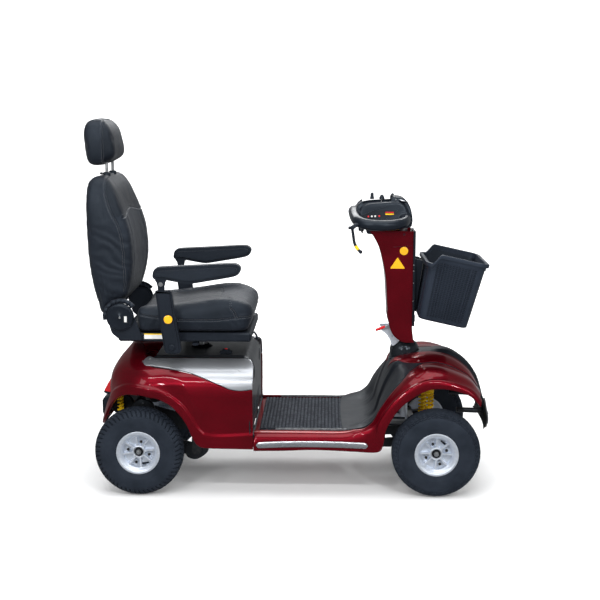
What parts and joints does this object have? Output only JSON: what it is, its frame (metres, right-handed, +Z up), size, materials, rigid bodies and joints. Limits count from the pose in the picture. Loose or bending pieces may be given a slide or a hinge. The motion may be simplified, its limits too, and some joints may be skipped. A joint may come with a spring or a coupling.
{
  "type": "mobility scooter",
  "caption": "Four-wheeled mobility scooter with a swivelling captain's seat, folding tiller with a wraparound handle, front basket and candy-coloured fenders.",
  "frame": {"origin": "on the ground under the middle of the bounding box", "axes": "+X towards the front, +Y to the rider's left, +Z up"},
  "size_m": [1.5403, 0.66, 1.39],
  "materials": {
    "rear_shroud": "candy metallic gloss",
    "floor_pan": "candy metallic gloss",
    "tiller_cover": "candy metallic gloss",
    "front_fender_left": "candy metallic gloss",
    "front_fender_right": "candy metallic gloss",
    "side_panel_left": "metallic paint",
    "side_panel_right": "metallic paint",
    "front_cowl": "fine grain",
    "seat_deck": "fine grain",
    "tiller_front_cover": "fine grain",
    "console": "fine grain",
    "speed_dial": "fine grain",
    "throttle_lever": "fine grain",
    "basket": "fine grain",
    "seat_pan": "fine grain",
    "swivel_lever": "fine grain",
    "slide_lever": "fine grain",
    "recliner_cover_left": "fine grain",
    "recliner_cover_right": "fine grain",
    "arm_post_left": "fine grain",
    "arm_post_right": "fine grain",
    "armrest_left": "fine grain",
    "armrest_right": "fine grain",
    "tiller_boot": "gloss",
    "steering_column": "satin metallic",
    "tilt_lever": "satin metallic",
    "sill_trim_left": "satin metallic",
    "sill_trim_right": "satin metallic",
    "rim_rear_left": "satin metallic",
    "rim_rear_right": "satin metallic",
    "rim_front_left": "satin metallic",
    "rim_front_right": "satin metallic",
    "tie_rod": "bright",
    "tiller_post": "bright",
    "ignition_key": "bright",
    "brake_lever": "bright",
    "seat_post": "bright",
    "headrest_posts": "bright",
    "chassis_frame": "semi-gloss black",
    "rear_swing_arm": "semi-gloss black",
    "transaxle": "semi-gloss black",
    "front_axle_beam": "semi-gloss black",
    "swivel_plate": "semi-gloss black",
    "knuckle_left": "semi-gloss black",
    "knuckle_right": "semi-gloss black",
    "tyre_rear_left": "worn matt",
    "tyre_rear_right": "worn matt",
    "tyre_front_left": "worn matt",
    "tyre_front_right": "worn matt",
    "floor_mat": "ribbed matt",
    "seat_cushion": "coated leather grain",
    "backrest": "coated leather grain",
    "headrest": "coated leather grain",
    "rear_shock_left": "gloss",
    "rear_shock_right": "gloss",
    "front_shock_left": "gloss",
    "front_shock_right": "gloss",
    "horn_button": "gloss",
    "battery_left": "moulded",
    "battery_right": "moulded"
  },
  "bodies": {
    "chassis": {"chassis_frame": "chassis_frame", "floor_pan": "floor_pan", "floor_mat": "floor_mat", "front_cowl": "front_cowl", "tiller_boot": "tiller_boot", "rear_shroud": "rear_shroud", "seat_deck": "seat_deck", "front_fender_left": "front_fender_left", "front_fender_right": "front_fender_right", "side_panel_left": "side_panel_left", "side_panel_right": "side_panel_right", "sill_trim_left": "sill_trim_left", "sill_trim_right": "sill_trim_right", "battery_left": "battery_left", "battery_right": "battery_right", "rear_shock_left": "rear_shock_left", "rear_shock_right": "rear_shock_right", "front_shock_left": "front_shock_left", "front_shock_right": "front_shock_right"},
    "rear_axle": {"rear_swing_arm": "rear_swing_arm", "transaxle": "transaxle"},
    "front_axle": {"front_axle_beam": "front_axle_beam"},
    "knuckle_left": {"knuckle_left": "knuckle_left"},
    "knuckle_right": {"knuckle_right": "knuckle_right"},
    "tie_rod": {"tie_rod": "tie_rod"},
    "steering": {"steering_column": "steering_column"},
    "tilt_lever": {"tilt_lever": "tilt_lever"},
    "tiller": {"tiller_post": "tiller_post", "tiller_cover": "tiller_cover", "tiller_front_cover": "tiller_front_cover", "console": "console"},
    "throttle": {"throttle_lever": "throttle_lever"},
    "brake": {"brake_lever": "brake_lever"},
    "dial": {"speed_dial": "speed_dial"},
    "key": {"ignition_key": "ignition_key"},
    "horn": {"horn_button": "horn_button"},
    "basket": {"basket": "basket"},
    "seat_lift": {"seat_post": "seat_post"},
    "swivel": {"swivel_plate": "swivel_plate"},
    "swivel_release": {"swivel_lever": "swivel_lever"},
    "seat": {"seat_pan": "seat_pan", "seat_cushion": "seat_cushion", "recliner_cover_left": "recliner_cover_left", "recliner_cover_right": "recliner_cover_right"},
    "slide_release": {"slide_lever": "slide_lever"},
    "backrest": {"backrest": "backrest"},
    "headrest": {"headrest": "headrest", "headrest_posts": "headrest_posts"},
    "arm_post_left": {"arm_post_left": "arm_post_left"},
    "armrest_left": {"armrest_left": "armrest_left"},
    "wheel_rear_left": {"tyre_rear_left": "tyre_rear_left", "rim_rear_left": "rim_rear_left"},
    "wheel_front_left": {"tyre_front_left": "tyre_front_left", "rim_front_left": "rim_front_left"},
    "arm_post_right": {"arm_post_right": "arm_post_right"},
    "armrest_right": {"armrest_right": "armrest_right"},
    "wheel_rear_right": {"tyre_rear_right": "tyre_rear_right", "rim_rear_right": "rim_rear_right"},
    "wheel_front_right": {"tyre_front_right": "tyre_front_right", "rim_front_right": "rim_front_right"}
  },
  "joints": [
    {"name": "rear_suspension", "type": "hinge", "parent": "chassis", "child": "rear_axle", "pos_m": [-0.35, 0, 0.137], "axis": [0, 1, 0], "range_deg": [0, 4.5], "stiffness_Nm_per_rad": 3200, "springref_deg": -3.44, "deforming": ["rear_shock_left", "rear_shock_right"]},
    {"name": "front_suspension", "type": "hinge", "parent": "chassis", "child": "front_axle", "pos_m": [0.3, 0, 0.137], "axis": [0, -1, 0], "range_deg": [0, 3.5], "stiffness_Nm_per_rad": 3200, "springref_deg": -3.15, "deforming": ["front_shock_left", "front_shock_right"]},
    {"name": "rear_wheel_spin_left", "type": "hinge", "parent": "rear_axle", "child": "wheel_rear_left", "pos_m": [-0.552, 0.28, 0.165], "axis": [0, 1, 0], "continuous": true},
    {"name": "rear_wheel_spin_right", "type": "hinge", "parent": "rear_axle", "child": "wheel_rear_right", "pos_m": [-0.552, -0.28, 0.165], "axis": [0, 1, 0], "continuous": true},
    {"name": "tiller_steer", "type": "hinge", "parent": "chassis", "child": "steering", "pos_m": [0.448, 0, 0.5], "axis": [0, 0, 1], "range_deg": [-35, 35]},
    {"name": "knuckle_steer_left", "type": "hinge", "parent": "front_axle", "child": "knuckle_left", "pos_m": [0.552, 0.205, 0.165], "axis": [0, 0, 1], "range_deg": [-35, 35]},
    {"name": "front_wheel_spin_left", "type": "hinge", "parent": "knuckle_left", "child": "wheel_front_left", "pos_m": [0.552, 0.28, 0.165], "axis": [0, 1, 0], "continuous": true},
    {"name": "knuckle_steer_right", "type": "hinge", "parent": "front_axle", "child": "knuckle_right", "pos_m": [0.552, -0.205, 0.165], "axis": [0, 0, 1], "range_deg": [-35, 35]},
    {"name": "front_wheel_spin_right", "type": "hinge", "parent": "knuckle_right", "child": "wheel_front_right", "pos_m": [0.552, -0.28, 0.165], "axis": [0, 1, 0], "continuous": true},
    {"name": "tie_rod_turn", "type": "hinge", "parent": "knuckle_right", "child": "tie_rod", "pos_m": [0.482, -0.205, 0.205], "axis": [0, 0, 1], "range_deg": [-35, 35]},
    {"name": "tiller_tilt", "type": "hinge", "parent": "steering", "child": "tiller", "pos_m": [0.423, 0, 0.566], "axis": [0, -1, 0], "range_deg": [-8, 30]},
    {"name": "tilt_lever_press", "type": "hinge", "parent": "steering", "child": "tilt_lever", "pos_m": [0.386, -0.0458, 0.596], "axis": [0, 1, 0], "range_deg": [0, 15], "stiffness_Nm_per_rad": 0.6, "springref_deg": -17.19},
    {"name": "throttle_turn", "type": "hinge", "parent": "tiller", "child": "throttle", "pos_m": [0.276, 0, 0.97], "axis": [0, 0, 1], "range_deg": [-11, 11], "stiffness_Nm_per_rad": 0.8},
    {"name": "brake_pull", "type": "hinge", "parent": "tiller", "child": "brake", "pos_m": [0.238, -0.198, 0.985], "axis": [0, -1, 0], "range_deg": [0, 20], "stiffness_Nm_per_rad": 1, "springref_deg": -17.19},
    {"name": "dial_turn", "type": "hinge", "parent": "tiller", "child": "dial", "pos_m": [0.325, 0, 1.0456], "axis": [0, 0, 1], "range_deg": [-130, 130]},
    {"name": "key_turn", "type": "hinge", "parent": "tiller", "child": "key", "pos_m": [0.35, -0.045, 1.0456], "axis": [0, 0, 1], "range_deg": [-90, 0]},
    {"name": "horn_press", "type": "slide", "parent": "tiller", "child": "horn", "axis": [0, 0, -1], "range_m": [0, 0.003], "stiffness_N_per_m": 300, "springref_m": -0.002},
    {"name": "basket_lift", "type": "slide", "parent": "tiller", "child": "basket", "axis": [0.127, 0, 0.9919], "range_m": [0, 0.15]},
    {"name": "seat_height", "type": "slide", "parent": "chassis", "child": "seat_lift", "axis": [0, 0, 1], "range_m": [0, 0.06]},
    {"name": "seat_swivel", "type": "hinge", "parent": "seat_lift", "child": "swivel", "pos_m": [-0.345, 0, 0.5476], "axis": [0, 0, 1], "range_deg": [-90, 90]},
    {"name": "swivel_lever_pull", "type": "hinge", "parent": "swivel", "child": "swivel_release", "pos_m": [-0.345, -0.1246, 0.556], "axis": [0, 0, 1], "range_deg": [0, 15], "stiffness_Nm_per_rad": 0.6, "springref_deg": -11.46},
    {"name": "seat_slide", "type": "slide", "parent": "swivel", "child": "seat", "axis": [1, 0, 0], "range_m": [-0.03, 0.04]},
    {"name": "slide_lever_lift", "type": "hinge", "parent": "seat", "child": "slide_release", "pos_m": [-0.135, -0.15, 0.588], "axis": [0, -1, 0], "range_deg": [0, 14], "stiffness_Nm_per_rad": 0.3, "springref_deg": -17.19},
    {"name": "backrest_recline", "type": "hinge", "parent": "seat", "child": "backrest", "pos_m": [-0.621, 0, 0.662], "axis": [0, 1, 0], "range_deg": [-15, 18]},
    {"name": "headrest_height", "type": "slide", "parent": "backrest", "child": "headrest", "axis": [0, 0, 1], "range_m": [0, 0.06]},
    {"name": "arm_width_left", "type": "slide", "parent": "seat", "child": "arm_post_left", "axis": [0, 1, 0], "range_m": [0, 0.04]},
    {"name": "armrest_lift_left", "type": "hinge", "parent": "arm_post_left", "child": "armrest_left", "pos_m": [-0.459, 0.285, 0.794], "axis": [0, -1, 0], "range_deg": [0, 95]},
    {"name": "arm_width_right", "type": "slide", "parent": "seat", "child": "arm_post_right", "axis": [0, -1, 0], "range_m": [0, 0.04]},
    {"name": "armrest_lift_right", "type": "hinge", "parent": "arm_post_right", "child": "armrest_right", "pos_m": [-0.459, -0.285, 0.794], "axis": [0, -1, 0], "range_deg": [0, 95]}
  ],
  "couplings": [
    {"joint": "knuckle_steer_left", "follows": "tiller_steer", "ratio": 1},
    {"joint": "knuckle_steer_right", "follows": "tiller_steer", "ratio": 1},
    {"joint": "tie_rod_turn", "follows": "tiller_steer", "ratio": -1}
  ]
}
